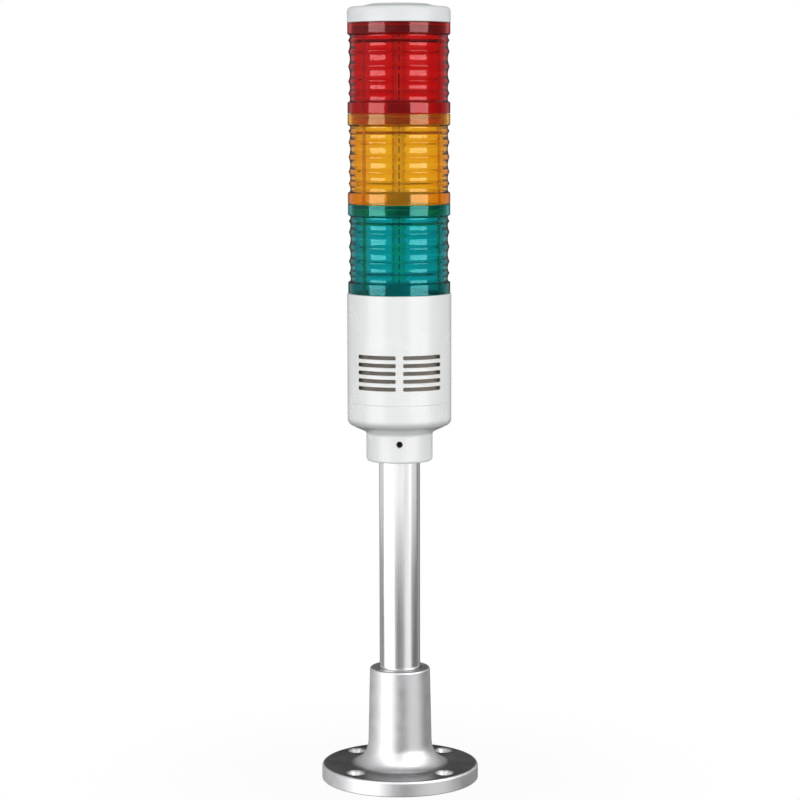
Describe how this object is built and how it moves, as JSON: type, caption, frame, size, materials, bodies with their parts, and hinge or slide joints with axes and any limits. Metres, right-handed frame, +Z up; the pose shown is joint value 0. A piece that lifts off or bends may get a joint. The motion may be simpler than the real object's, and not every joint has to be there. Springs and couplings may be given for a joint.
{
  "type": "stack light",
  "caption": "Stack light: red, amber and green twist-lock ribbed lens tiers on a vented sounder housing, carried by a tube in a flanged cast foot.",
  "frame": {"origin": "centre of the foot's underside", "axes": "+Z up along the pole, towards the cap; the vents and the neck's clamp screw face -Y"},
  "size_m": [0.086, 0.086, 0.4232],
  "materials": {
    "cast_aluminium": "satin die casting",
    "tube_metal": "drawn and brightened",
    "white_abs": "fine satin gloss",
    "cap_abs": "gloss",
    "lens_green": "clear tinted polycarbonate",
    "lens_amber": "clear tinted polycarbonate",
    "lens_red": "clear tinted polycarbonate",
    "black_plastic": "moulded",
    "grey_plastic": "moulded",
    "brown_plastic": "moulded, red-brown",
    "circuit_board": "solder mask",
    "lamp_board": "white solder mask",
    "lamp_lens": "resin",
    "brass": "bright",
    "steel": "plated",
    "black_steel": "black oxide",
    "rubber": "matte",
    "seal_silicone": "red-brown silicone",
    "dust_screen": "fine woven mesh",
    "sleeve": "shrunk sleeve"
  },
  "bodies": {
    "base": {"base_flange": "cast_aluminium", "base_gasket": "rubber", "cable_grommet": "rubber", "pole_tube": "tube_metal", "base_set_screws": "steel", "lower_housing": "white_abs", "neck_thread_insert": "brass", "pole_clamp_screw": "black_steel", "housing_seal": "rubber", "upper_housing": "white_abs", "housing_screws": "steel", "vent_screen": "dust_screen", "control_pcb": "circuit_board", "pcb_screws": "steel", "buzzer_case": "black_plastic", "buzzer_diaphragm": "brass", "terminal_block": "circuit_board", "terminal_screws": "steel", "capacitor": "sleeve", "driver_module": "black_plastic", "tier_connector": "black_plastic", "contact_board": "circuit_board"},
    "green_tier": {"lens_green": "lens_green", "seal_green": "seal_silicone", "hub_green": "grey_plastic", "socket_green": "brown_plastic", "led_boards_green": "lamp_board", "leds_green": "lamp_lens", "bus_strips_green": "brass", "contact_pins_green": "brass"},
    "amber_tier": {"lens_amber": "lens_amber", "seal_amber": "seal_silicone", "hub_amber": "grey_plastic", "socket_amber": "brown_plastic", "led_boards_amber": "lamp_board", "leds_amber": "lamp_lens", "bus_strips_amber": "brass", "contact_pins_amber": "brass"},
    "red_tier": {"lens_red": "lens_red", "seal_red": "seal_silicone", "hub_red": "grey_plastic", "socket_red": "brown_plastic", "led_boards_red": "lamp_board", "leds_red": "lamp_lens", "bus_strips_red": "brass", "contact_pins_red": "brass"},
    "cap": {"top_cap": "cap_abs", "cap_seal": "seal_silicone"}
  },
  "joints": [
    {"name": "green_twist", "type": "hinge", "parent": "base", "child": "green_tier", "pos_m": [0, 0, 0.268], "axis": [0, 0, 1], "range_deg": [0, 20]},
    {"name": "amber_twist", "type": "hinge", "parent": "green_tier", "child": "amber_tier", "pos_m": [0, 0, 0.31622], "axis": [0, 0, 1], "range_deg": [0, 20]},
    {"name": "red_twist", "type": "hinge", "parent": "amber_tier", "child": "red_tier", "pos_m": [0, 0, 0.36444], "axis": [0, 0, 1], "range_deg": [0, 20]},
    {"name": "cap_twist", "type": "hinge", "parent": "red_tier", "child": "cap", "pos_m": [0, 0, 0.41266], "axis": [0, 0, 1], "range_deg": [0, 20]}
  ]
}
